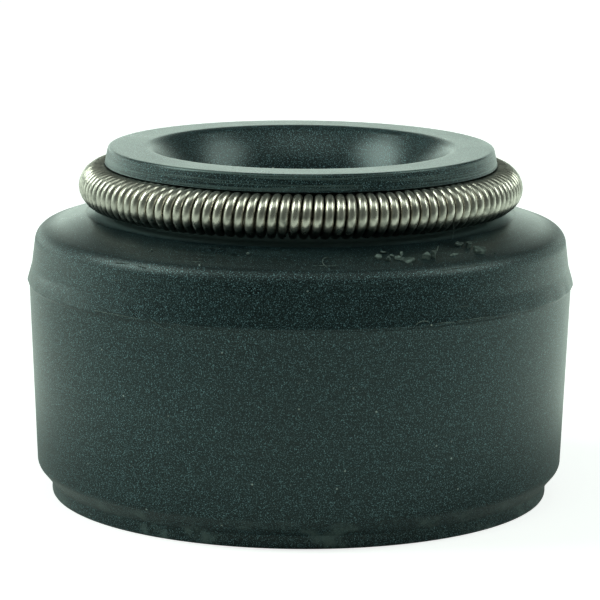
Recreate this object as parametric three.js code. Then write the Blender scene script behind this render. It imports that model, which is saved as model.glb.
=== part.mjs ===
// Valve stem seal: a moulded rubber cap that is pressed on the top of a valve guide. Its lip wipes
// the valve stem, and a garter spring in a groove round the head keeps the lip closed on the stem.
// Sizes are millimetres. +Z is up, along the stem, and the origin is the centre of the bottom face.
import * as THREE from "three";

// What the seal is made to fit
const stemDiameter = 7; // valve stem that slides through the lip
const lipGrip = 0.5; // the free lip is this much smaller across than the stem
const guideDiameter = 11; // valve guide that the skirt is pressed on
const guideGrip = 0.3; // the free bore is this much smaller across than the guide

// Skirt, from the foot up to the parting line of the mould
const footWall = 1.55; // rubber between the bore and the foot ring's outside
const footHeight = 0.38; // straight ring at the very bottom
const footEdge = 0.07; // broken edge of the foot ring
const footInset = 0.4; // the foot ring is set in this far from the skirt
const footBevelHeight = 0.48; // height of the bevel between the foot ring and the skirt
const skirtDraft = 0.2; // the skirt's radius grows this much up to the parting line
const partingHeight = 6.02; // parting line above the bottom face
const flashStand = 0.07; // ridge that the mould leaves at the parting line
const flashHalfHeight = 0.12;

// Shoulder, above the parting line
const shoulderRise = 1.36; // parting line to the shoulder's outer edge
const shoulderLean = 0.19; // the wall leans in this much over that height
const shoulderEdge = 0.4; // radius of the shoulder's outer edge
const shoulderSlope = 19; // degrees that the shoulder climbs towards the spring
const ledgeReach = 1.05; // the ledge under the spring reaches this far out from the groove's bottom
const ledgeEdge = 0.06; // radius of the ledge's edge

// Garter spring: a close coil of steel wire, joined end to end into a ring
const wireDiameter = 0.24;
const coilDiameter = 1.2; // outside of the coil
const coilGap = 0.0095; // space between two turns on the inside of the ring
const springAboveShoulder = 1.21; // spring's centre above the shoulder's outer edge
const nibTurns = 3; // narrow turns at one end of the wire, screwed into the other end
const nibTaperTurns = 1; // turns over which the coil narrows to the nib
const nibClearance = 0.05; // between the nib and the inside of the coil round it
const jointAngle = 90; // degrees round the ring, where the two ends meet

// Head, with the lip inside and the spring's groove outside
const grooveClearance = 0.03; // between the coil and its groove
const lipSection = 1.65; // rubber between the lip and the bottom of the groove
const rimCover = 0.52; // the rim reaches this far out over the bottom of the groove
const rimLean = 0.1; // the rim's outside leans in this much up to the top face
const rimAboveSpring = 1.08; // top face above the spring's centre
const rimEdge = 0.06; // broken outer edge of the top face
const topFaceWidth = 1.16; // ring on top, from the rim's outside to the mouth before it is rounded
const mouthEdge = 0.35; // radius of the mouth's edge
const throatInset = 0.66; // the funnel is this much narrower, in radius, at the throat than at the mouth
const throatDepth = 0.74; // top face to the throat, below which the funnel is steeper
const lipBelowSpring = 0.46; // the lip sits below the spring's centre
const lipLand = 0.08; // height of the lip's narrow land

// Inside, below the lip
const neckCover = 0.25; // the neck's outside lies this far out from the bottom of the groove
const neckWall = 0.95; // rubber between the neck's outside and the cavity
const cavityTopBelowLip = 0.9; // where the slope under the lip meets the cavity's wall
const crownThickness = 0.9; // stop face for the guide below the shoulder's outer edge
const stopRelief = 0.2; // bevel between the stop face and the bore
const leadIn = 0.35; // bevel at the mouth of the bore
const gripBeads = 2; // beads in the bore that hold the guide
const beadHeight = 0.12;
const beadHalfWidth = 0.35;
const beadPitch = 2.2;
const firstBead = 1.9; // lowest bead above the bottom face

// Fineness of the meshes
const sealSides = 44;
const stepsPerTurn = 8;
const wireSides = 4;

// Radii and heights that follow from the sizes above
const lipRadius = (stemDiameter - lipGrip) / 2;
const boreRadius = (guideDiameter - guideGrip) / 2;
const footRadius = boreRadius + footWall;
const skirtRadius = footRadius + footInset + skirtDraft;
const shoulderRadius = skirtRadius - shoulderLean;
const shoulderHeight = partingHeight + shoulderRise;
const springHeight = shoulderHeight + springAboveShoulder;
const topHeight = springHeight + rimAboveSpring;
const grooveRadius = coilDiameter / 2 + grooveClearance;
const grooveBottom = lipRadius + lipSection;
const ringRadius = grooveBottom + grooveRadius;
const rimRadius = grooveBottom + rimCover;
const neckRadius = grooveBottom + neckCover;
const ledgeRadius = grooveBottom + ledgeReach;
const mouthRadius = rimRadius - rimLean - topFaceWidth;
const throatRadius = mouthRadius - throatInset;
const lipHeight = springHeight - lipBelowSpring;
const cavityRadius = neckRadius - neckWall;
const stopHeight = shoulderHeight - crownThickness;

const toRadians = THREE.MathUtils.degToRad;

function sectionPoint(radius, height) {
  return new THREE.Vector2(radius, height);
}

// Points along an arc of the section, with both of its ends.
function sectionArc(centre, radius, fromAngle, toAngle, steps) {
  return Array.from({ length: steps + 1 }, (_, i) => {
    const angle = THREE.MathUtils.lerp(fromAngle, toAngle, i / steps);
    return sectionPoint(centre.x + radius * Math.cos(angle), centre.y + radius * Math.sin(angle));
  });
}

// Replaces a corner by an arc that is tangent to both of its sides, as far as they are long enough.
function roundedCorner(before, corner, after, radius, steps) {
  const back = before.clone().sub(corner);
  const ahead = after.clone().sub(corner);
  const room = Math.min(back.length(), ahead.length()) * 0.9;
  back.normalize();
  ahead.normalize();
  const halfAngle = Math.acos(THREE.MathUtils.clamp(back.dot(ahead), -1, 1)) / 2;
  const reach = Math.min(radius / Math.tan(halfAngle), room);
  const fitted = reach * Math.tan(halfAngle);
  const middle = back.clone().add(ahead).normalize();
  const centre = corner.clone().addScaledVector(middle, fitted / Math.sin(halfAngle));
  const start = corner.clone().addScaledVector(back, reach).sub(centre).angle();
  let sweep = corner.clone().addScaledVector(ahead, reach).sub(centre).angle() - start;
  if (sweep > Math.PI) sweep -= 2 * Math.PI;
  if (sweep < -Math.PI) sweep += 2 * Math.PI;
  return sectionArc(centre, fitted, start, start + sweep, steps);
}

// Foot ring, bevel, skirt and the ridge at the parting line.
function skirtOutside() {
  const innerEdge = sectionPoint(boreRadius + leadIn, 0);
  const outerEdge = sectionPoint(footRadius, 0);
  const footTop = sectionPoint(footRadius, footHeight);
  return [
    innerEdge,
    ...roundedCorner(innerEdge, outerEdge, footTop, footEdge, 1),
    footTop,
    sectionPoint(footRadius + footInset, footHeight + footBevelHeight),
    sectionPoint(skirtRadius, partingHeight - flashHalfHeight),
    sectionPoint(skirtRadius + flashStand, partingHeight),
    sectionPoint(skirtRadius, partingHeight + flashHalfHeight),
  ];
}

// Rounded shoulder, the ledge that it climbs to, and the neck that rises into the spring's groove.
function shoulderAndGroove() {
  const springCentre = sectionPoint(ringRadius, springHeight);
  const lowerEnd = 2 * Math.PI - Math.acos((neckRadius - ringRadius) / grooveRadius);
  const upperEnd = Math.acos((rimRadius - ringRadius) / grooveRadius);
  const groove = sectionArc(springCentre, grooveRadius, lowerEnd, upperEnd, 5);
  const climb = (shoulderRadius - ledgeRadius) * Math.tan(toRadians(shoulderSlope));
  const wallFoot = sectionPoint(skirtRadius, partingHeight + flashHalfHeight);
  const outerEdge = sectionPoint(shoulderRadius, shoulderHeight);
  const ledge = sectionPoint(ledgeRadius, shoulderHeight + climb);
  const neckFoot = sectionPoint(neckRadius, shoulderHeight + climb);
  return [
    ...roundedCorner(wallFoot, outerEdge, ledge, shoulderEdge, 3),
    ...roundedCorner(outerEdge, ledge, neckFoot, ledgeEdge, 1),
    neckFoot,
    ...groove,
  ];
}

// Top face, and the mouth's funnel down to the lip.
function headInside() {
  const rimTop = sectionPoint(rimRadius - rimLean, topHeight);
  const rimFoot = sectionPoint(rimRadius, springHeight);
  const mouth = sectionPoint(mouthRadius, topHeight);
  const throat = sectionPoint(throatRadius, topHeight - throatDepth);
  return [
    ...roundedCorner(rimFoot, rimTop, mouth, rimEdge, 1),
    ...roundedCorner(rimTop, mouth, throat, mouthEdge, 2),
    throat,
    sectionPoint(lipRadius, lipHeight + lipLand / 2),
    sectionPoint(lipRadius, lipHeight - lipLand / 2),
  ];
}

// Cavity under the lip, stop face for the guide, and the bore with its beads.
function boreInside() {
  const beads = Array.from({ length: gripBeads }, (_, i) => {
    const middle = firstBead + (gripBeads - 1 - i) * beadPitch;
    return [
      sectionPoint(boreRadius, middle + beadHalfWidth),
      sectionPoint(boreRadius - beadHeight, middle),
      sectionPoint(boreRadius, middle - beadHalfWidth),
    ];
  });
  return [
    sectionPoint(cavityRadius, lipHeight - cavityTopBelowLip),
    sectionPoint(cavityRadius, stopHeight),
    sectionPoint(boreRadius - stopRelief, stopHeight),
    sectionPoint(boreRadius, stopHeight - stopRelief),
    ...beads.flat(),
    sectionPoint(boreRadius, leadIn),
  ];
}

function makeRubberBody() {
  const outline = [...skirtOutside(), ...shoulderAndGroove(), ...headInside(), ...boreInside()];
  outline.push(outline[0].clone());
  const geometry = new THREE.LatheGeometry(outline, sealSides);
  geometry.rotateX(Math.PI / 2);
  const rubber = new THREE.MeshStandardMaterial({ color: 0x1c2223, roughness: 0.42, metalness: 0 });
  const mesh = new THREE.Mesh(geometry, rubber);
  mesh.name = "rubber_body";
  return mesh;
}

// Centre line of the spring's wire: a helix bent round into a ring, whose last turns narrow to a
// nib inside the first ones.
class GarterWire extends THREE.Curve {
  constructor() {
    super();
    this.coilRadius = (coilDiameter - wireDiameter) / 2;
    this.nibRadius = this.coilRadius - wireDiameter - nibClearance;
    const innerLength = 2 * Math.PI * (ringRadius - this.coilRadius);
    this.coils = Math.floor(innerLength / (wireDiameter + coilGap));
    this.turns = this.coils + nibTurns;
  }

  // Angle round the ring, and the coil's centre there.
  coilCentre(turn) {
    const around = toRadians(jointAngle) + (2 * Math.PI * turn) / this.coils;
    return new THREE.Vector3(Math.cos(around) * ringRadius, Math.sin(around) * ringRadius, springHeight);
  }

  getPoint(t, target = new THREE.Vector3()) {
    const turn = t * this.turns;
    const narrowed = THREE.MathUtils.smoothstep(turn, this.coils - nibTaperTurns, this.coils);
    const radius = THREE.MathUtils.lerp(this.coilRadius, this.nibRadius, narrowed);
    const centre = this.coilCentre(turn);
    const wind = 2 * Math.PI * turn;
    const outward = new THREE.Vector3(centre.x, centre.y, 0).normalize();
    target.copy(centre).addScaledVector(outward, radius * Math.cos(wind));
    target.z += radius * Math.sin(wind);
    return target;
  }

  // Steps are even along the turns and not along the length, so a nib's turn has as many as a coil's.
  getUtoTmapping(u) {
    return u;
  }

  // Frames that keep a corner of the wire's section pointing away from the coil's centre.
  computeFrenetFrames(segments) {
    const frames = { tangents: [], normals: [], binormals: [] };
    for (let i = 0; i <= segments; i++) {
      const t = i / segments;
      const tangent = this.getTangent(t);
      const away = this.getPoint(t).sub(this.coilCentre(t * this.turns));
      const normal = away.addScaledVector(tangent, -away.dot(tangent)).normalize();
      frames.tangents.push(tangent);
      frames.normals.push(normal);
      frames.binormals.push(new THREE.Vector3().crossVectors(tangent, normal));
    }
    return frames;
  }
}

function makeGarterSpring() {
  const wire = new GarterWire();
  const corners = Array.from({ length: wireSides }, (_, i) => {
    const angle = (2 * Math.PI * i) / wireSides;
    return new THREE.Vector2(Math.cos(angle), Math.sin(angle)).multiplyScalar(wireDiameter / 2);
  });
  const geometry = new THREE.ExtrudeGeometry(new THREE.Shape(corners), {
    steps: Math.round(wire.turns * stepsPerTurn),
    extrudePath: wire,
    bevelEnabled: false,
  });
  const steel = new THREE.MeshStandardMaterial({ color: 0x8f8c80, roughness: 0.35, metalness: 1 });
  const mesh = new THREE.Mesh(geometry, steel);
  mesh.name = "garter_spring";
  return mesh;
}

const valveStemSeal = new THREE.Group();
valveStemSeal.name = "valve_stem_seal";
valveStemSeal.add(makeRubberBody(), makeGarterSpring());

export default valveStemSeal;
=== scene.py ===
# A valve stem seal: a cap moulded from black rubber, with a steel garter spring round its head.
# Sizes in the dictionaries are millimetres unless a note says otherwise; Blender works in metres.
import math
import bpy
from mathutils import Euler, Matrix, Vector, noise


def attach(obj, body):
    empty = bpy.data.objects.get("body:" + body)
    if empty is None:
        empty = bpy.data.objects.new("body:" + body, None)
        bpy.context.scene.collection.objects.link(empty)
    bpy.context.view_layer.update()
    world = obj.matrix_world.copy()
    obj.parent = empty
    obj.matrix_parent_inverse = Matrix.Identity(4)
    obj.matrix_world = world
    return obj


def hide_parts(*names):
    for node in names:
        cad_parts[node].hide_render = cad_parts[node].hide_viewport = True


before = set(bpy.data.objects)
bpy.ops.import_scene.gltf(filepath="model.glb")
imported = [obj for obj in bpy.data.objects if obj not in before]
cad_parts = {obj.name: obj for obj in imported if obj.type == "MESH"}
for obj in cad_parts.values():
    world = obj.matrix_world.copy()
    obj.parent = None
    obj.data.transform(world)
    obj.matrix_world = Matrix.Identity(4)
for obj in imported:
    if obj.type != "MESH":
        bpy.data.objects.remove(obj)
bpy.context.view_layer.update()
mm = 0.001
noise.seed_set(1)  # without it noise_vector gives other crumbs and another coil in each run
print("frame loaded:", ", ".join(sorted(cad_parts)))


def deselectAll():
    if bpy.context.object and bpy.context.object.mode != "OBJECT":
        bpy.ops.object.mode_set(mode="OBJECT")
    bpy.ops.object.select_all(action="DESELECT")


def makeActive(piece):
    deselectAll()
    piece.select_set(True)
    bpy.context.view_layer.objects.active = piece


def selectPoints(piece, wanted):
    # Leaves edit mode on, with the points selected for which wanted(place) is true.
    makeActive(piece)
    bpy.ops.object.mode_set(mode="EDIT")
    bpy.ops.mesh.select_mode(type="VERT")
    bpy.ops.mesh.select_all(action="DESELECT")
    bpy.ops.object.mode_set(mode="OBJECT")
    found = 0
    for vertex in piece.data.vertices:
        if wanted(piece.matrix_world @ vertex.co):
            vertex.select = True
            found += 1
    bpy.ops.object.mode_set(mode="EDIT")
    return found


def applyModifier(piece, kind, **settings):
    makeActive(piece)
    modifier = piece.modifiers.new(kind.lower(), kind)
    for name, value in settings.items():
        setattr(modifier, name, value)
    bpy.ops.object.modifier_apply(modifier=modifier.name)


def finishPiece(piece, name, body="root"):
    # Puts the piece's place into its mesh and lets it ride on the part's one body.
    makeActive(piece)
    bpy.ops.object.transform_apply(location=True, rotation=True, scale=True)
    piece.name = name
    piece.data.name = name
    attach(piece, body)


# Camera, at the place that the photograph was taken from
cameraPlace = {
    "distance": 94.3,  # from the point on the seal's axis that it looks at
    "elevation": 10.71,  # degrees
    "lookHeight": 5.34,
    "sideStep": 0.0,
    "roll": 0.45,  # degrees
    "sensor": 36.0,
    "lens": 203.3,
}


def addCamera(c):
    tilt = math.radians(c["elevation"])
    back = Vector((0, -math.cos(tilt), math.sin(tilt))) * c["distance"] * mm
    deselectAll()
    bpy.ops.object.camera_add(location=back + Vector((c["sideStep"], 0, c["lookHeight"])) * mm)
    camera = bpy.context.object
    camera.name = "photo_camera"
    look = Euler((math.pi / 2 - tilt, 0, 0)).to_matrix()
    camera.rotation_euler = (look @ Matrix.Rotation(math.radians(c["roll"]), 3, "Z")).to_euler()
    camera.data.sensor_width = c["sensor"]
    camera.data.lens = c["lens"]
    camera.data.clip_start = 1 * mm
    camera.data.clip_end = 10
    bpy.context.scene.camera = camera


addCamera(cameraPlace)
print("camera placed")


# Rubber cap: the section is drawn point by point, its corners are rounded and it is spun
bodySize = {
    "boreRadius": 5.35,
    "footRadius": 6.9,
    "footHeight": 0.38,
    "skirtFootRadius": 7.3,
    "bevelTop": 0.86,
    "skirtRadius": 7.5,
    "partingHeight": 5.97,
    "flareRadius": 7.43,  # where the wall starts to flare out to the parting line
    "flareHeight": 6.42,
    "flashStand": 0.07,
    "flashDrop": 0.08,
    "shoulderRadius": 7.31,
    "shoulderHeight": 7.38,
    "shoulderSlope": 19,  # degrees
    "ledgeRadius": 5.95,
    "neckRadius": 5.15,
    "grooveBottom": 4.9,
    "grooveRadius": 0.63,
    "springHeight": 8.59,
    "rimRadius": 5.42,
    "rimTopRadius": 5.32,
    "topHeight": 9.67,
    "mouthRadius": 4.16,
    "throatRadius": 3.5,
    "throatHeight": 8.93,
    "lipRadius": 3.25,
    "lipHeight": 8.13,
    "lipLand": 0.08,
    "cavityRadius": 4.2,
    "cavityTop": 7.21,
    "stopHeight": 6.48,
    "stopRelief": 0.2,
    "leadIn": 0.35,
    "beadHeights": (4.1, 1.9),
    "beadRise": 0.12,
    "beadHalf": 0.35,
    "sides": 240,  # faces round the seal
    "longEdge": 0.9,  # section edges longer than this are cut into ten
    "tearLength": 0.07,  # length of the ridge's uneven stretches, as a share of its radius
}


def bodySection(s):
    # Corners of half the section as (radius, height, rounding), round the outside and back inside.
    climb = (s["shoulderRadius"] - s["ledgeRadius"]) * math.tan(math.radians(s["shoulderSlope"]))
    ledgeHeight = s["shoulderHeight"] + climb
    grooveCentre = s["grooveBottom"] + s["grooveRadius"]
    lowAngle = 2 * math.pi - math.acos((s["neckRadius"] - grooveCentre) / s["grooveRadius"])
    highAngle = math.acos((s["rimRadius"] - grooveCentre) / s["grooveRadius"])
    turns = [lowAngle + (highAngle - lowAngle) * i / 12 for i in range(13)]
    groove = [
        (grooveCentre + s["grooveRadius"] * math.cos(a),
         s["springHeight"] + s["grooveRadius"] * math.sin(a), 0)
        for a in turns
    ]
    beads = []
    for height in s["beadHeights"]:
        beads += [
            (s["boreRadius"], height + s["beadHalf"], 0.08),
            (s["boreRadius"] - s["beadRise"], height, 0.12),
            (s["boreRadius"], height - s["beadHalf"], 0.08),
        ]
    return [
        (s["boreRadius"] + s["leadIn"], 0, 0.04),
        (s["footRadius"], 0, 0.09),
        (s["footRadius"], s["footHeight"], 0.06),
        (s["skirtFootRadius"], s["bevelTop"], 0.3),
        (s["skirtRadius"], s["partingHeight"] - s["flashDrop"], 0.06),
        (s["skirtRadius"] + s["flashStand"], s["partingHeight"], 0.05),
        (s["flareRadius"], s["flareHeight"], 0.8),
        (s["shoulderRadius"], s["shoulderHeight"], 0.4),
        (s["ledgeRadius"], ledgeHeight, 0.06),
        (s["neckRadius"], ledgeHeight, 0.1),
        *groove,
        (s["rimTopRadius"], s["topHeight"], 0.07),
        (s["mouthRadius"], s["topHeight"], 0.35),
        (s["throatRadius"], s["throatHeight"], 2.8),
        (s["lipRadius"], s["lipHeight"] + s["lipLand"] / 2, 0.04),
        (s["lipRadius"], s["lipHeight"] - s["lipLand"] / 2, 0.03),
        (s["cavityRadius"], s["cavityTop"], 0.2),
        (s["cavityRadius"], s["stopHeight"], 0.05),
        (s["boreRadius"] - s["stopRelief"], s["stopHeight"], 0.03),
        (s["boreRadius"], s["stopHeight"] - s["stopRelief"], 0.03),
        *beads,
        (s["boreRadius"], s["leadIn"], 0.04),
    ]


def drawSection(corners):
    # One point, extruded from corner to corner and closed by a face.
    deselectAll()
    bpy.ops.mesh.primitive_plane_add(size=mm, location=(corners[0][0] * mm, 0, corners[0][1] * mm))
    section = bpy.context.object
    bpy.ops.object.mode_set(mode="EDIT")
    bpy.ops.mesh.select_all(action="SELECT")
    bpy.ops.mesh.merge(type="CENTER")
    for here, there in zip(corners, corners[1:]):
        step = Vector((there[0] - here[0], 0, there[1] - here[1])) * mm
        bpy.ops.mesh.extrude_region_move(TRANSFORM_OT_translate={"value": step})
    bpy.ops.mesh.select_all(action="SELECT")
    bpy.ops.mesh.edge_face_add()
    bpy.ops.object.mode_set(mode="OBJECT")
    bpy.ops.object.transform_apply(location=True, rotation=False, scale=False)
    return section


def roundCorner(section, before, corner, after, radius, segments):
    # A point bevel is measured along the two edges, so its size follows from the corner's angle.
    back = (Vector(before[:2]) - Vector(corner[:2])).normalized()
    ahead = (Vector(after[:2]) - Vector(corner[:2])).normalized()
    reach = radius / math.tan(math.acos(max(-1, min(1, back.dot(ahead)))) / 2)
    place = Vector((corner[0], 0, corner[1])) * mm
    found = selectPoints(section, lambda p: (p - place).length < 1e-7)
    if found == 1:
        bpy.ops.mesh.bevel(
            offset=reach * mm, segments=segments, profile=0.5, affect="VERTICES", offset_type="OFFSET"
        )
    bpy.ops.object.mode_set(mode="OBJECT")


def makeBody(s):
    corners = bodySection(s)
    body = drawSection(corners)
    for i, corner in enumerate(corners):
        if corner[2]:
            after = corners[(i + 1) % len(corners)]
            roundCorner(body, corners[i - 1], corner, after, corner[2], 7 if corner[2] > 0.2 else 4)
    bpy.ops.object.mode_set(mode="EDIT")
    bpy.ops.mesh.select_all(action="SELECT")
    bpy.ops.mesh.delete(type="ONLY_FACE")
    bpy.ops.mesh.select_mode(type="EDGE")
    bpy.ops.mesh.select_all(action="DESELECT")
    bpy.ops.object.mode_set(mode="OBJECT")
    for edge in body.data.edges:
        ends = [body.data.vertices[i].co for i in edge.vertices]
        edge.select = (ends[0] - ends[1]).length > s["longEdge"] * mm
    bpy.ops.object.mode_set(mode="EDIT")
    bpy.ops.mesh.subdivide(number_cuts=9)
    bpy.ops.mesh.select_all(action="SELECT")
    bpy.ops.mesh.spin(steps=s["sides"], angle=2 * math.pi, center=(0, 0, 0), axis=(0, 0, 1))
    bpy.ops.mesh.select_all(action="SELECT")
    bpy.ops.mesh.remove_doubles(threshold=1e-7)
    bpy.ops.mesh.normals_make_consistent(inside=False)
    bpy.ops.object.mode_set(mode="OBJECT")
    # The ridge at the parting line is torn off unevenly.
    for vertex in body.data.vertices:
        out = math.hypot(vertex.co.x, vertex.co.y)
        stand = out - s["skirtRadius"] * mm
        if stand > 1e-6 and vertex.co.z > (s["partingHeight"] - s["flashDrop"]) * mm:
            along = vertex.co / (out * s["tearLength"])
            keep = 0.85 + 0.5 * noise.noise(Vector((along.x, along.y, 2.3)))
            pull = stand * (max(0.5, min(1.0, keep)) - 1) / out
            vertex.co *= Vector((1, 1, 1)) + Vector((1, 1, 0)) * pull
    finishPiece(body, "moulded_rubber_cap")
    bpy.ops.object.shade_smooth_by_angle(angle=math.radians(35))
    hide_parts("rubber_body")
    return body


cap = makeBody(bodySize)
print("rubber cap:", len(cap.data.polygons), "faces")


# Crumbs of trimmed rubber on the shoulder
crumbSize = {
    "edge": 0.008,
    "spread": 1.2,  # the lengths and widths below are multiplied by this
    "unevenness": 0.05,
    "roughGrain": 0.17,  # size of the unevenness
    # azimuth from the front (degrees), distance from the axis, length, width, height, turn (degrees), corners
    "places": (
        (44.5, 6.74, 0.42, 0.3, 0.1, 12, 4),
        (43.4, 6.46, 0.17, 0.15, 0.16, 35, 5),
        (41.5, 6.3, 0.26, 0.16, 0.06, -5, 4),
        (36.5, 6.75, 0.28, 0.09, 0.04, 0, 4),
        (33.7, 6.43, 0.09, 0.07, 0.15, 30, 3),
        (31.1, 6.73, 0.24, 0.2, 0.2, 50, 3),
        (29.0, 6.75, 0.22, 0.16, 0.17, -35, 3),
        (24.6, 6.78, 0.34, 0.24, 0.06, 8, 5),
        (22.6, 6.66, 0.24, 0.2, 0.06, -20, 5),
        (23.7, 6.51, 0.14, 0.1, 0.12, 40, 3),
        (21.3, 6.53, 0.15, 0.06, 0.05, 0, 4),
        (19.8, 6.71, 0.13, 0.1, 0.13, 20, 4),
        (19.8, 6.33, 0.17, 0.06, 0.05, -10, 4),
        (17.8, 6.59, 0.19, 0.14, 0.09, 15, 5),
        (24.0, 7.03, 0.05, 0.05, 0.05, 0, 4),
        (31.4, 7.2, 0.045, 0.045, 0.04, 0, 4),
        (47.6, 6.95, 0.05, 0.05, 0.05, 0, 4),
        (-22.9, 6.79, 0.045, 0.045, 0.05, 0, 4),
        (-12.5, 6.4, 0.07, 0.05, 0.05, 20, 4),
        (-36.2, 6.62, 0.06, 0.05, 0.05, 0, 4),
    ),
}


def shoulderTop(s, radius):
    # Height of the sloping shoulder at this distance from the axis.
    return s["shoulderHeight"] + (s["shoulderRadius"] - radius) * math.tan(math.radians(s["shoulderSlope"]))


def makeCrumbs(c, s):
    parts = []
    for azimuth, radius, length, width, height, turn, corners in c["places"]:
        a = math.radians(azimuth)
        slope = Matrix.Rotation(a, 3, "Z") @ Matrix.Rotation(math.radians(s["shoulderSlope"]), 3, "X")
        stance = slope @ Matrix.Rotation(math.radians(turn), 3, "Z")
        lift = shoulderTop(s, radius) + height * 0.4
        deselectAll()
        bpy.ops.mesh.primitive_cylinder_add(
            vertices=corners, radius=0.5 * mm, depth=mm,
            location=Vector((radius * math.sin(a), -radius * math.cos(a), lift)) * mm,
            rotation=stance.to_euler(), scale=(length * c["spread"], width * c["spread"], height)
        )
        parts.append(bpy.context.object)
    makeActive(parts[0])
    for part in parts:
        part.select_set(True)
    bpy.ops.object.transform_apply(location=True, rotation=True, scale=True)
    bpy.ops.object.join()
    crumbs = bpy.context.object
    bpy.ops.object.mode_set(mode="EDIT")
    bpy.ops.mesh.select_all(action="SELECT")
    bpy.ops.mesh.bevel(offset=c["edge"] * mm, segments=1, affect="EDGES", clamp_overlap=True)
    bpy.ops.object.mode_set(mode="OBJECT")
    for vertex in crumbs.data.vertices:
        vertex.co += noise.noise_vector(vertex.co / (c["roughGrain"] * mm)) * c["unevenness"] * mm
    finishPiece(crumbs, "rubber_crumbs")
    bpy.ops.object.shade_smooth_by_angle(angle=math.radians(25))
    return crumbs


crumbs = makeCrumbs(crumbSize, bodySize)
print("crumbs:", len(crumbs.data.polygons), "faces")


# Slivers, torn threads of flash and lint that lie on the cap
sliverSize = {
    # thickness, then points as (azimuth from the front in degrees, distance from the axis, height)
    "threads": (
        (0.022, ((40.7, 6.16, 8.3), (40.9, 6.2, 8.15), (40.3, 6.22, 8),
                 (40.5, 6.15, 7.9), (40.3, 6.1, 7.82))),
        (0.034, ((6.6, 6.5, 7.67), (5.2, 6.5, 7.72), (4.4, 6.7, 7.66), (4.7, 6.9, 7.57), (5.8, 6.98, 7.5))),
        (0.016, ((30.0, 7.27, 7.34), (33.0, 7.26, 7.35), (36.0, 7.25, 7.36),
                 (39.0, 7.25, 7.36), (42.0, 7.24, 7.36))),
        (0.02, ((-41.6, 7.28, 7.32), (-40.5, 7.27, 7.34), (-39.8, 7.27, 7.34),
                 (-39.0, 7.26, 7.35), (-38.2, 7.25, 7.36))),
        (0.02, ((-35.6, 7.28, 7.34), (-35.1, 7.28, 7.33), (-34.6, 7.29, 7.33),
                 (-34.0, 7.29, 7.32), (-33.4, 7.29, 7.31))),
        (0.02, ((-41.9, 7.39, 6.88), (-41.2, 7.39, 6.87), (-40.5, 7.39, 6.89),
                 (-39.8, 7.385, 6.9), (-39.2, 7.385, 6.91))),
        (0.018, ((-25.6, 6.9, 7.53), (-24.6, 6.92, 7.52), (-23.6, 6.9, 7.53),
                 (-22.4, 6.89, 7.53), (-21.4, 6.9, 7.53))),
        (0.018, ((-40.5, 6.9, 7.52), (-39.9, 6.88, 7.53), (-39.2, 6.86, 7.54),
                 (-38.6, 6.85, 7.54), (-38.0, 6.84, 7.54))),
        (0.022, ((-45.5, 7.565, 6.02), (-42.5, 7.575, 6.02), (-39.0, 7.575, 6.02),
                 (-36.0, 7.575, 6.01), (-33.0, 7.575, 6))),
        (0.018, ((-31.0, 7.565, 6.04), (-29.6, 7.545, 5.92), (-28.0, 7.5, 5.83),
                 (-27.0, 7.495, 5.73), (-26.2, 7.5, 5.84))),
        (0.02, ((-25.4, 7.565, 5.96), (-25.1, 7.565, 5.97), (-24.8, 7.565, 5.96),
                 (-24.5, 7.565, 5.97), (-24.2, 7.565, 5.96))),
        (0.03, ((23.3, 7.57, 6.03), (23.9, 7.575, 6.1), (24.7, 7.565, 6.13),
                 (25.5, 7.565, 6.12), (26.2, 7.57, 6.06))),
        (0.024, ((28.0, 7.575, 6.01), (29.0, 7.575, 6.03), (30.0, 7.575, 6.01),
                 (31.0, 7.58, 6.02), (32.0, 7.575, 6))),
        (0.022, ((32.6, 7.58, 6.02), (35.0, 7.58, 6.02), (37.0, 7.58, 6.03),
                 (39.5, 7.575, 6.02), (42.0, 7.575, 6.02))),
        (0.018, ((32.6, 7.47, 6.37), (33.4, 7.47, 6.36), (34.2, 7.47, 6.37),
                 (35.4, 7.47, 6.36), (36.4, 7.47, 6.36))),
        (0.02, ((3.0, 6.86, 7.54), (4.5, 6.87, 7.535), (6.0, 6.88, 7.53),
                 (7.0, 6.88, 7.53), (8.0, 6.87, 7.535))),
    ),
}


def makeThreads(c):
    parts = []
    for thickness, points in c["threads"]:
        deselectAll()
        bpy.ops.curve.primitive_nurbs_path_add(radius=mm, location=(0, 0, 0))
        thread = bpy.context.object
        for point, (azimuth, radius, height) in zip(thread.data.splines[0].points, points):
            a = math.radians(azimuth)
            point.co = (*Vector((radius * math.sin(a), -radius * math.cos(a), height)) * mm, 1)
            along = (azimuth - points[0][0] + 0.3) / (points[-1][0] - points[0][0] + 0.7)
            point.radius = 0.6 + 0.4 * math.sin(math.pi * along)  # thickest near the middle
        thread.data.resolution_u = 6
        thread.data.bevel_depth = thickness / 2 * mm
        thread.data.bevel_resolution = 1
        thread.data.use_fill_caps = True
        bpy.ops.object.convert(target="MESH")
        parts.append(bpy.context.object)
    makeActive(parts[0])
    for part in parts:
        part.select_set(True)
    bpy.ops.object.join()
    threads = bpy.context.object
    finishPiece(threads, "flash_threads")
    bpy.ops.object.shade_smooth_by_angle(angle=math.radians(60))
    return threads


threads = makeThreads(sliverSize)
print("threads:", len(threads.data.polygons), "faces")


# Garter spring: a straight coil is screwed from a round section and bent into a ring
springSize = {
    "wireRadius": 0.12,
    "coilRadius": 0.48,  # to the middle of the wire
    "turns": 127,
    "ringRadius": 5.53,
    "ringHeight": 8.59,
    "nibRadius": 0.19,  # narrow turns of one end, inside the other end's coil
    "nibTurns": 6,
    "jointAngle": 90,  # degrees round the ring, at the back of the photograph
    "unevenness": 0.012,
    "wireSides": 12,
    "stepsPerTurn": 24,
}


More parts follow.
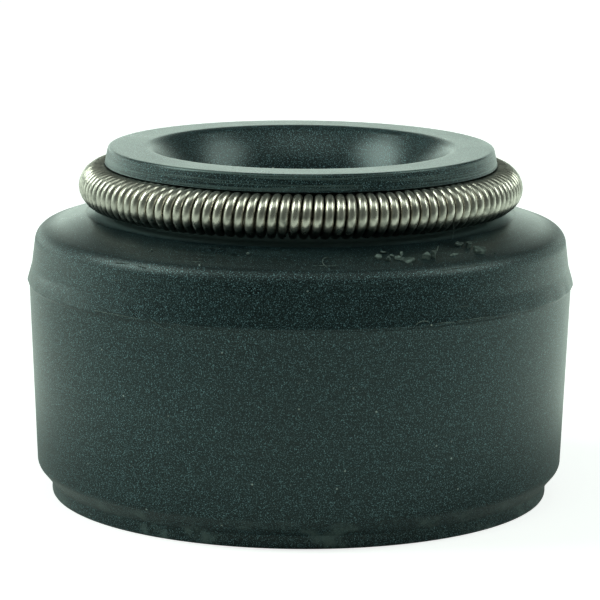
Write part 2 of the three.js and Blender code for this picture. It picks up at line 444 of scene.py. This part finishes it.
def screwCoil(s, radius, turns, firstTurn):
    # A straight coil along X: the section is screwed along Z and then laid over.
    pitch = 2 * math.pi * s["ringRadius"] / s["turns"]
    deselectAll()
    bpy.ops.mesh.primitive_circle_add(
        vertices=s["wireSides"], radius=s["wireRadius"] * mm, location=(0, 0, 0), rotation=(math.pi / 2, 0, 0)
    )
    coil = bpy.context.object
    bpy.ops.object.transform_apply(location=True, rotation=True, scale=True)
    selectPoints(coil, lambda p: True)
    bpy.ops.transform.translate(value=(radius * mm, 0, 0))
    bpy.ops.object.mode_set(mode="OBJECT")
    applyModifier(
        coil, "SCREW", axis="Z", angle=2 * math.pi, screw_offset=pitch * mm, iterations=turns,
        steps=s["stepsPerTurn"], render_steps=s["stepsPerTurn"], use_merge_vertices=False
    )
    makeActive(coil)
    bpy.ops.object.mode_set(mode="EDIT")
    bpy.ops.mesh.select_all(action="DESELECT")
    bpy.ops.mesh.select_non_manifold(extend=False)
    bpy.ops.mesh.fill_holes(sides=s["wireSides"])
    bpy.ops.mesh.select_all(action="SELECT")
    bpy.ops.mesh.normals_make_consistent(inside=False)
    bpy.ops.transform.translate(value=(0, 0, firstTurn * pitch * mm))
    bpy.ops.object.mode_set(mode="OBJECT")
    return coil


def makeSpring(s):
    coil = screwCoil(s, s["coilRadius"], s["turns"], 0)
    nib = screwCoil(s, s["nibRadius"], s["nibTurns"], -s["nibTurns"] / 2)
    makeActive(coil)
    nib.select_set(True)
    bpy.ops.object.join()
    # Each turn sits a little off its place, as a hand-stretched coil does.
    for vertex in coil.data.vertices:
        along = vertex.co.z / mm
        push = noise.noise_vector(Vector((along * 1.9, 3.1, 7.7)))
        vertex.co += Vector((push.x, push.y, push.z * 0.8)) * s["unevenness"] * mm
    # Bending: the coil's length becomes the angle round the ring.
    start = math.radians(s["jointAngle"])
    for vertex in coil.data.vertices:
        around = start + vertex.co.z / (s["ringRadius"] * mm)
        out = s["ringRadius"] * mm + vertex.co.x
        up = s["ringHeight"] * mm + vertex.co.y
        vertex.co = Vector((out * math.cos(around), out * math.sin(around), up))
    selectPoints(coil, lambda p: True)
    bpy.ops.mesh.normals_make_consistent(inside=False)
    bpy.ops.object.mode_set(mode="OBJECT")
    finishPiece(coil, "garter_spring_coil")
    bpy.ops.object.shade_smooth_by_angle(angle=math.radians(50))
    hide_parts("garter_spring")
    return coil


spring = makeSpring(springSize)
print("garter spring:", len(spring.data.polygons), "faces")


# Materials
def linearColour(hexCode):
    # sRGB hex to linear RGBA
    parts = [int(hexCode[i:i + 2], 16) / 255 for i in (1, 3, 5)]
    return [p / 12.92 if p <= 0.04045 else ((p + 0.055) / 1.055) ** 2.4 for p in parts] + [1]


def addNode(material, kind, settings=None, values=None, links=None):
    # One node: settings are its properties, values its sockets, links (socket: (node, output)).
    node = material.node_tree.nodes.new(kind)
    for name, value in (settings or {}).items():
        setattr(node, name, value)
    for name, value in (values or {}).items():
        node.inputs[name].default_value = value
    for name, (source, output) in (links or {}).items():
        material.node_tree.links.new(source.outputs[output], node.inputs[name])
    return node


def newMaterial(name):
    material = bpy.data.materials.new(name)
    material.use_nodes = True
    material.node_tree.nodes.clear()
    return material


rubberLook = {
    "black": "#030d10",
    "bloom": "#0b191c",  # thin film of bloom and handling
    "bloomPatch": 2.6,
    "grainLight": "#7ca1a9",
    "dust": "#b4bdb8",
    "groove": "#7b9090",  # pale grey painted under and behind the spring: painted light that lifts the spring's shade there
    "scuff": "#596967",
    "roughness": 0.28,
    "tint": (0.8, 0.97, 1, 1),
    "grain": 0.028,  # size of the grain, drawn as coarse as it has to be to show
    "grainDepth": 0.0025,
    "grainShown": (0.578, 0.678),  # noise at which a grain starts to show and is full
    "shoulderShade": 0.045,  # how far that noise is lowered on the shoulder's top: painted shade that darkens it
    "marks": (260, 260, 22000),  # turning marks in a metre: long round the seal and fine up it
    "markDepth": 0.004,
    "wearPatch": 0.9,
    "dustSize": 0.2,  # mesh of the cells that may hold a speck
    "grooveEdge": (0.03, 0.5),  # the groove's painted light starts this far in from the ledge's edge, and is full
    "grooveTop": (0.57, 0.43),  # it ends this far above the spring's middle, and is full
    "rubbedEdge": (0.3, 0.1),  # how far from the shoulder's edge it starts to be matt, and is full
}


def mouldedRubber(look, body):
    # Nitrile rubber from a polished steel mould: nearly black and half glossy, with a fine grain,
    # faint turning marks of the mould, a grey film of bloom and white specks of dust.
    m = newMaterial("moulded nitrile rubber")
    place = addNode(m, "ShaderNodeTexCoord")
    split = addNode(m, "ShaderNodeSeparateXYZ", links={"Vector": (place, "Object")})

    film = addNode(m, "ShaderNodeTexNoise",
                   values={"Scale": 1 / (look["bloomPatch"] * mm), "Detail": 6, "Roughness": 0.65},
                   links={"Vector": (place, "Object")})
    filmRamp = addNode(m, "ShaderNodeMapRange", values={"From Min": 0.42, "From Max": 0.75, "To Max": 0.55},
                       links={"Value": (film, "Fac")})
    base = addNode(m, "ShaderNodeMix", {"data_type": "RGBA"},
                   {6: linearColour(look["black"]), 7: linearColour(look["bloom"])},
                   {0: (filmRamp, "Result")})

    # Grain: fine noise, which shows as a pale sparkle all over the dark rubber.
    grain = addNode(m, "ShaderNodeTexNoise",
                    values={"Scale": 1 / (look["grain"] * mm), "Detail": 1, "Roughness": 1},
                    links={"Vector": (place, "Object")})
    # Painted shade: on the shoulder's top the noise is lowered, so fewer pale grains show and it renders
    # darker.
    flat = addNode(m, "ShaderNodeVectorMath", {"operation": "MULTIPLY"}, {1: (1, 1, 0)},
                   {0: (place, "Object")})
    out = addNode(m, "ShaderNodeVectorMath", {"operation": "LENGTH"}, links={0: (flat, "Vector")})
    up = addNode(m, "ShaderNodeMapRange", {"interpolation_type": "SMOOTHSTEP"},
                 {"From Min": (body["shoulderHeight"] - 0.1) * mm,
                  "From Max": (body["shoulderHeight"] + 0.08) * mm, "To Max": -look["shoulderShade"]},
                 {"Value": (split, "Z")})
    onTop = addNode(m, "ShaderNodeMath", {"operation": "GREATER_THAN"},
                    {1: (body["ledgeRadius"] - 0.05) * mm}, {0: (out, "Value")})
    shoulderShade = addNode(m, "ShaderNodeMath", {"operation": "MULTIPLY_ADD"},
                    links={0: (up, "Result"), 1: (onTop, "Value"), 2: (grain, "Fac")})
    speckle = addNode(m, "ShaderNodeMapRange",
                      values={"From Min": look["grainShown"][0], "From Max": look["grainShown"][1]},
                      links={"Value": (shoulderShade, "Value")})
    speckled = addNode(m, "ShaderNodeMix", {"data_type": "RGBA"}, {7: linearColour(look["grainLight"])},
                       {0: (speckle, "Result"), 6: (base, 2)})

    # Turning marks of the mould: noise drawn out round the seal, strongest on the head.
    stretch = addNode(m, "ShaderNodeVectorMath", {"operation": "MULTIPLY"}, {1: look["marks"]},
                      {0: (place, "Object")})
    marks = addNode(m, "ShaderNodeTexNoise", values={"Scale": 1, "Detail": 3, "Roughness": 0.7},
                    links={"Vector": (stretch, "Vector")})
    high = addNode(m, "ShaderNodeMapRange",
                   values={"From Min": body["springHeight"] * mm,
                           "From Max": (body["springHeight"] + 0.5) * mm, "To Min": 0.1, "To Max": 0.8},
                   links={"Value": (split, "Z")})
    outer = addNode(m, "ShaderNodeMapRange",
                    values={"From Min": (body["rimTopRadius"] - 0.3) * mm,
                            "From Max": (body["rimTopRadius"] - 0.04) * mm, "To Min": 0.12},
                    links={"Value": (out, "Value")})
    onHead = addNode(m, "ShaderNodeMath", {"operation": "MULTIPLY"},
                     links={0: (high, "Result"), 1: (outer, "Result")})
    markRamp = addNode(m, "ShaderNodeMapRange", values={"From Min": 0.49, "From Max": 0.61, "To Max": 0.95},
                       links={"Value": (marks, "Fac")})
    marked = addNode(m, "ShaderNodeMath", {"operation": "MULTIPLY"},
                     links={0: (markRamp, "Result"), 1: (onHead, "Value")})
    scuffed = addNode(m, "ShaderNodeMix", {"data_type": "RGBA"}, {7: linearColour(look["scuff"])},
                      {0: (marked, "Value"), 6: (speckled, 2)})

    # Wear: the foot and the bevel above it are scuffed in patches.
    wear = addNode(m, "ShaderNodeTexNoise",
                   values={"Scale": 1 / (look["wearPatch"] * mm), "Detail": 7, "Roughness": 0.75},
                   links={"Vector": (place, "Object")})
    wearRamp = addNode(m, "ShaderNodeMapRange", values={"From Min": 0.5, "From Max": 0.62, "To Max": 0.8},
                       links={"Value": (wear, "Fac")})
    atFoot = addNode(m, "ShaderNodeMapRange", {"interpolation_type": "SMOOTHSTEP"},
                     {"From Min": (body["bevelTop"] + 0.1) * mm, "From Max": (body["footHeight"] + 0.2) * mm},
                     {"Value": (split, "Z")})
    worn = addNode(m, "ShaderNodeMath", {"operation": "MULTIPLY"},
                   links={0: (wearRamp, "Result"), 1: (atFoot, "Result")})
    scuffed = addNode(m, "ShaderNodeMix", {"data_type": "RGBA"}, {7: linearColour(look["scuff"])},
                      {0: (worn, "Value"), 6: (scuffed, 2)})

    # Dust: a few cells hold a speck near their middle.
    cells = addNode(m, "ShaderNodeTexVoronoi", values={"Scale": 1 / (look["dustSize"] * mm)},
                    links={"Vector": (place, "Object")})
    chance = addNode(m, "ShaderNodeSeparateColor", links={"Color": (cells, "Color")})
    chosen = addNode(m, "ShaderNodeMapRange", values={"From Min": 0.93, "From Max": 0.98},
                     links={"Value": (chance, "Red")})
    speck = addNode(m, "ShaderNodeMapRange", values={"From Min": 0.16, "From Max": 0.08},
                    links={"Value": (cells, "Distance")})
    dust = addNode(m, "ShaderNodeMath", {"operation": "MULTIPLY"},
                   links={0: (chosen, "Result"), 1: (speck, "Result")})
    colour = addNode(m, "ShaderNodeMix", {"data_type": "RGBA"}, {7: linearColour(look["dust"])},
                     {0: (dust, "Value"), 6: (scuffed, 2)})

    # Pale grey painted into the groove and onto the ledge under the spring: painted light that lifts the deep
    # shade there, which would otherwise render black.
    inward = addNode(m, "ShaderNodeMapRange", {"interpolation_type": "SMOOTHSTEP"},
                     {"From Min": (body["ledgeRadius"] - look["grooveEdge"][0]) * mm,
                      "From Max": (body["ledgeRadius"] - look["grooveEdge"][1]) * mm},
                     {"Value": (out, "Value")})
    outward = addNode(m, "ShaderNodeMath", {"operation": "GREATER_THAN"},
                      {1: (body["grooveBottom"] - 0.05) * mm}, {0: (out, "Value")})
    lower = addNode(m, "ShaderNodeMapRange", {"interpolation_type": "SMOOTHSTEP"},
                    {"From Min": (body["springHeight"] + look["grooveTop"][0]) * mm,
                     "From Max": (body["springHeight"] + look["grooveTop"][1]) * mm}, {"Value": (split, "Z")})
    above = addNode(m, "ShaderNodeMath", {"operation": "GREATER_THAN"},
                    {1: (body["shoulderHeight"] + 0.02) * mm}, {0: (split, "Z")})
    band = addNode(m, "ShaderNodeMath", {"operation": "MULTIPLY"},
                   links={0: (inward, "Result"), 1: (lower, "Result")})
    banded = addNode(m, "ShaderNodeMath", {"operation": "MULTIPLY"},
                     links={0: (band, "Value"), 1: (outward, "Value")})
    # Painted light: mask where the spring's shade in the groove is lifted with pale grey.
    paintedGrooveLight = addNode(m, "ShaderNodeMath", {"operation": "MULTIPLY"},
                       links={0: (banded, "Value"), 1: (above, "Value")})
    colour = addNode(m, "ShaderNodeMix", {"data_type": "RGBA"}, {7: linearColour(look["groove"])},
                     {0: (paintedGrooveLight, "Value"), 6: (colour, 2)})

    rough = addNode(m, "ShaderNodeMapRange",
                    values={"To Min": look["roughness"] - 0.05, "To Max": look["roughness"] + 0.07},
                    links={"Value": (film, "Fac")})
    # The shoulder's edge is rubbed matt by handling.
    offEdge = addNode(m, "ShaderNodeMath", {"operation": "SUBTRACT"},
                      {1: (body["shoulderHeight"] - 0.06) * mm}, {0: (split, "Z")})
    fromEdge = addNode(m, "ShaderNodeMath", {"operation": "ABSOLUTE"}, links={0: (offEdge, "Value")})
    rubbed = addNode(m, "ShaderNodeMapRange", {"interpolation_type": "SMOOTHSTEP"},
                     {"From Min": look["rubbedEdge"][0] * mm, "From Max": look["rubbedEdge"][1] * mm,
                      "To Max": 0.14}, {"Value": (fromEdge, "Value")})
    matt = addNode(m, "ShaderNodeMath", {"operation": "ADD"},
                   links={0: (rough, "Result"), 1: (rubbed, "Result")})
    bump = addNode(m, "ShaderNodeBump", values={"Strength": 0.7, "Distance": look["grainDepth"] * mm},
                   links={"Height": (grain, "Fac")})
    lines = addNode(m, "ShaderNodeBump", values={"Strength": 0.35, "Distance": look["markDepth"] * mm},
                    links={"Height": (marked, "Value"), "Normal": (bump, "Normal")})
    shader = addNode(m, "ShaderNodeBsdfPrincipled", values={"IOR": 1.5, "Specular Tint": look["tint"]},
                     links={"Base Color": (colour, 2), "Roughness": (matt, "Value"),
                            "Normal": (lines, "Normal")})
    addNode(m, "ShaderNodeOutputMaterial", links={"Surface": (shader, "BSDF")})
    return m


crumbLook = {
    "grey": "#34413f",
    "pale": "#73827e",
    "dustPatch": 0.13,
    "roughness": 0.65,
}


def tornRubber(look):
    # Torn and trimmed edges of the same rubber: matt, and greyed by dust.
    m = newMaterial("torn nitrile rubber, dusty")
    place = addNode(m, "ShaderNodeTexCoord")
    dust = addNode(m, "ShaderNodeTexNoise", values={"Scale": 1 / (look["dustPatch"] * mm), "Detail": 4},
                   links={"Vector": (place, "Object")})
    ramp = addNode(m, "ShaderNodeMapRange", values={"From Min": 0.4, "From Max": 0.65},
                   links={"Value": (dust, "Fac")})
    colour = addNode(m, "ShaderNodeMix", {"data_type": "RGBA"},
                     {6: linearColour(look["grey"]), 7: linearColour(look["pale"])}, {0: (ramp, "Result")})
    shader = addNode(m, "ShaderNodeBsdfPrincipled", values={"IOR": 1.5, "Roughness": look["roughness"]},
                     links={"Base Color": (colour, 2)})
    addNode(m, "ShaderNodeOutputMaterial", links={"Surface": (shader, "BSDF")})
    return m


wireLook = {
    "steel": "#d0cabf",
    # dark colour of the soil patches, also used as painted shade on the coil's lower half
    "soilAndShade": "#4a4f4a",
    "soilPatch": 0.35,
    "shadeTop": 8.36,  # below this height the wire is painted darker, as painted shade on the coil's lower half
    "shadeRise": 0.3,  # and it is darkest this much lower
    "roughness": 0.24,
}


def drawnWire(look):
    # Drawn spring steel: bright, a little warm, with thin soil in patches, and painted shade that darkens the
    # lower half.
    m = newMaterial("drawn spring steel wire")
    place = addNode(m, "ShaderNodeTexCoord")
    soil = addNode(m, "ShaderNodeTexNoise",
                   values={"Scale": 1 / (look["soilPatch"] * mm), "Detail": 6, "Roughness": 0.65},
                   links={"Vector": (place, "Object")})
    split = addNode(m, "ShaderNodeSeparateXYZ", links={"Vector": (place, "Object")})
    # Painted shade: below this height the wire is painted darker, on top of the soil noise.
    below = addNode(m, "ShaderNodeMapRange",
                    values={"From Min": look["shadeTop"] * mm,
                            "From Max": (look["shadeTop"] - look["shadeRise"]) * mm, "To Max": 0.5},
                    links={"Value": (split, "Z")})
    soilPlusShade = addNode(m, "ShaderNodeMath", {"operation": "ADD"}, links={0: (soil, "Fac"), 1: (below, "Result")})
    soilShadeRamp = addNode(m, "ShaderNodeMapRange", values={"From Min": 0.48, "From Max": 0.78, "To Max": 0.95},
                       links={"Value": (soilPlusShade, "Value")})
    colour = addNode(m, "ShaderNodeMix", {"data_type": "RGBA"},
                     {6: linearColour(look["steel"]), 7: linearColour(look["soilAndShade"])},
                     {0: (soilShadeRamp, "Result")})
    rough = addNode(m, "ShaderNodeMapRange",
                    values={"To Min": look["roughness"] - 0.05, "To Max": look["roughness"] + 0.15},
                    links={"Value": (soil, "Fac")})
    bump = addNode(m, "ShaderNodeBump", values={"Strength": 0.4, "Distance": 0.004 * mm},
                   links={"Height": (soil, "Fac")})
    shader = addNode(m, "ShaderNodeBsdfPrincipled", values={"Metallic": 1},
                     links={"Base Color": (colour, 2), "Roughness": (rough, "Result"),
                            "Normal": (bump, "Normal")})
    addNode(m, "ShaderNodeOutputMaterial", links={"Surface": (shader, "BSDF")})
    return m


def dress(piece, material):
    piece.data.materials.clear()
    piece.data.materials.append(material)


dress(cap, mouldedRubber(rubberLook, bodySize))
torn = tornRubber(crumbLook)
dress(crumbs, torn)
dress(threads, torn)
dress(spring, drawnWire(wireLook))
print("materials done")


# Floor, light and background
stageSize = {
    "floorWidth": 700,
    "floorFront": 62,  # the paper ends this far in front of the seal
    "floorWhite": "#c9cdcb",
    "frontDark": 0.12,  # brightness of the room behind the camera, near the horizon
    "frontBright": 0.4,
    "backBright": 2.1,
    "zenith": 0.13,
    "tint": (0.82, 1.0, 0.88),  # the studio's white as the dark rubber shows it
    "lampTint": (0.86, 1.0, 0.89),
    "floorGlow": 0.54,
    "glowReach": (9, 18),  # distance from the axis at which the paper's glow starts and is full
    "glowDepth": (-52, 18),  # the same along Y, from the camera's side to the back
    "glowLean": (0.75, 1.45),  # its share leanWidth to the left and to the right
    "leanWidth": 30,
    "boreShade": 6.2,  # nearer to the axis the camera sees no glow
    "paperWhite": 0.75,  # glow that the camera sees, on top of the paper's own colour
    "roomBehind": (-0.25, -0.9),  # direction's Y at which the dark room starts and is full
    "roomTop": (0.75, 0.5),  # and its Z
    "frontToBack": (-0.4, 0.9),  # Y from frontBright to backBright
    "upToZenith": (0.15, 0.42),  # Z from there to the zenith
    "leftToRight": (-0.3, 0.9),  # X over which the light falls off to the right
    "rightFall": (1.04, 0.5),  # shares of the light at the ends of that
}

lampPlaces = [
    # name, azimuth from the front towards +X, elevation, distance, width, height, brightness
    ("left_softbox", -90, 41, 300, 150, 150, 6.8),
    ("right_softbox", 88, 41, 300, 150, 150, 4.0),
    ("top_softbox", 0, 67, 300, 240, 120, 1.2),
]


def addLamp(name, azimuth, elevation, distance, width, height, brightness):
    a, e = math.radians(azimuth), math.radians(elevation)
    aim = Vector((0, 0, cameraPlace["lookHeight"] * mm))
    away = Vector((math.sin(a) * math.cos(e), -math.cos(a) * math.cos(e), math.sin(e)))
    deselectAll()
    bpy.ops.object.light_add(type="AREA", location=aim + away * distance * mm)
    lamp = bpy.context.object
    lamp.name = name
    lamp.rotation_euler = away.to_track_quat("Z", "Y").to_euler()
    lamp.data.shape = "RECTANGLE"
    lamp.data.size = width * mm
    lamp.data.size_y = height * mm
    lamp.data.energy = brightness * math.pi * width * height * mm * mm
    lamp.data.color = stageSize["lampTint"]


def addFloor(s):
    deselectAll()
    middle = (s["floorWidth"] / 2 - s["floorFront"]) * mm
    bpy.ops.mesh.primitive_plane_add(size=s["floorWidth"] * mm, location=(0, middle, 0))
    bpy.ops.object.transform_apply(location=True, rotation=False, scale=False)
    floor = bpy.context.object
    floor.name = "floor"
    m = newMaterial("white paper floor")
    paper = addNode(m, "ShaderNodeBsdfDiffuse", values={"Color": linearColour(s["floorWhite"])})
    path = addNode(m, "ShaderNodeLightPath")
    place = addNode(m, "ShaderNodeTexCoord")
    split = addNode(m, "ShaderNodeSeparateXYZ", links={"Vector": (place, "Object")})
    # Towards the camera the paper lies in less light, and so the front of the wall stays dark.
    reach = addNode(m, "ShaderNodeVectorMath", {"operation": "LENGTH"}, links={0: (place, "Object")})
    near = addNode(m, "ShaderNodeMapRange", {"interpolation_type": "SMOOTHSTEP"},
                   {"From Min": s["glowReach"][0] * mm, "From Max": s["glowReach"][1] * mm},
                   {"Value": (reach, "Value")})
    depth = addNode(m, "ShaderNodeMapRange",
                    values={"From Min": s["glowDepth"][0] * mm, "From Max": s["glowDepth"][1] * mm,
                            "To Max": s["floorGlow"]},
                    links={"Value": (split, "Y")})
    sideways = addNode(m, "ShaderNodeMapRange",
                       values={"From Min": -s["leanWidth"] * mm, "From Max": s["leanWidth"] * mm,
                               "To Min": s["glowLean"][0], "To Max": s["glowLean"][1]},
                       links={"Value": (split, "X")})
    paperGlow = addNode(m, "ShaderNodeMath", {"operation": "MULTIPLY"},
                        links={0: (depth, "Result"), 1: (near, "Result")})
    leaning = addNode(m, "ShaderNodeMath", {"operation": "MULTIPLY"},
                      links={0: (paperGlow, "Value"), 1: (sideways, "Result")})
    shown = addNode(m, "ShaderNodeMath", {"operation": "MULTIPLY"},
                    links={0: (leaning, "Value"), 1: (path, "Is Glossy Ray")})
    # Seen straight on it is white, but not inside the bore.
    outside = addNode(m, "ShaderNodeMath", {"operation": "GREATER_THAN"}, {1: s["boreShade"] * mm},
                      {0: (reach, "Value")})
    seen = addNode(m, "ShaderNodeMath", {"operation": "MULTIPLY"},
                   links={0: (outside, "Value"), 1: (path, "Is Camera Ray")})
    full = addNode(m, "ShaderNodeMath", {"operation": "MULTIPLY_ADD"}, {1: s["paperWhite"]},
                   {0: (seen, "Value"), 2: (shown, "Value")})
    glowTint = addNode(m, "ShaderNodeMix", {"data_type": "RGBA"}, {6: (*s["tint"], 1), 7: (1, 1, 1, 1)},
                       {0: (path, "Is Camera Ray")})
    glow = addNode(m, "ShaderNodeEmission", links={"Strength": (full, "Value"), "Color": (glowTint, 2)})
    lit = addNode(m, "ShaderNodeAddShader", links={0: (paper, "BSDF"), 1: (glow, "Emission")})
    addNode(m, "ShaderNodeOutputMaterial", links={"Surface": (lit, "Shader")})
    dress(floor, m)


def setWorld(s):
    # White to the camera. The seal sees it brightest behind, darker above and in the room at the front.
    world = bpy.data.worlds.new("white studio")
    bpy.context.scene.world = world
    world.use_nodes = True
    world.node_tree.nodes.clear()
    path = addNode(world, "ShaderNodeLightPath")
    place = addNode(world, "ShaderNodeTexCoord")
    split = addNode(world, "ShaderNodeSeparateXYZ", links={"Vector": (place, "Generated")})
    front = addNode(world, "ShaderNodeMapRange", {"interpolation_type": "SMOOTHSTEP"},
                    {"From Min": s["roomBehind"][0], "From Max": s["roomBehind"][1]}, {"Value": (split, "Y")})
    low = addNode(world, "ShaderNodeMapRange", {"interpolation_type": "SMOOTHSTEP"},
                  {"From Min": s["roomTop"][0], "From Max": s["roomTop"][1]}, {"Value": (split, "Z")})
    room = addNode(world, "ShaderNodeMath", {"operation": "MULTIPLY"},
                   links={0: (front, "Result"), 1: (low, "Result")})
    sides = addNode(world, "ShaderNodeMapRange",
                    values={"From Min": s["frontToBack"][0], "From Max": s["frontToBack"][1],
                            "To Min": s["frontBright"], "To Max": s["backBright"]},
                    links={"Value": (split, "Y")})
    around = addNode(world, "ShaderNodeMapRange", {"interpolation_type": "SMOOTHSTEP"},
                     {"From Min": s["upToZenith"][0], "From Max": s["upToZenith"][1], "To Max": s["zenith"]},
                     {"Value": (split, "Z"), "To Min": (sides, "Result")})
    # A little less light comes from the right.
    sideways = addNode(world, "ShaderNodeMapRange",
                       values={"From Min": s["leftToRight"][0], "From Max": s["leftToRight"][1],
                               "To Min": s["rightFall"][0], "To Max": s["rightFall"][1]},
                       links={"Value": (split, "X")})
    leaning = addNode(world, "ShaderNodeMath", {"operation": "MULTIPLY"},
                      links={0: (around, "Result"), 1: (sideways, "Result")})
    bright = addNode(world, "ShaderNodeMapRange", values={"To Max": s["frontDark"]},
                     links={"Value": (room, "Value"), "To Min": (leaning, "Value")})
    white = addNode(world, "ShaderNodeBackground", values={"Color": (1, 1, 1, 1), "Strength": 1})
    soft = addNode(world, "ShaderNodeBackground", values={"Color": (*s["tint"], 1)},
                   links={"Strength": (bright, "Result")})
    mix = addNode(world, "ShaderNodeMixShader",
                  links={0: (path, "Is Camera Ray"), 1: (soft, "Background"), 2: (white, "Background")})
    addNode(world, "ShaderNodeOutputWorld", links={"Surface": (mix, "Shader")})


addFloor(stageSize)
setWorld(stageSize)
for place in lampPlaces:
    addLamp(*place)
bpy.context.scene.view_settings.view_transform = "Standard"
print("stage and light done")
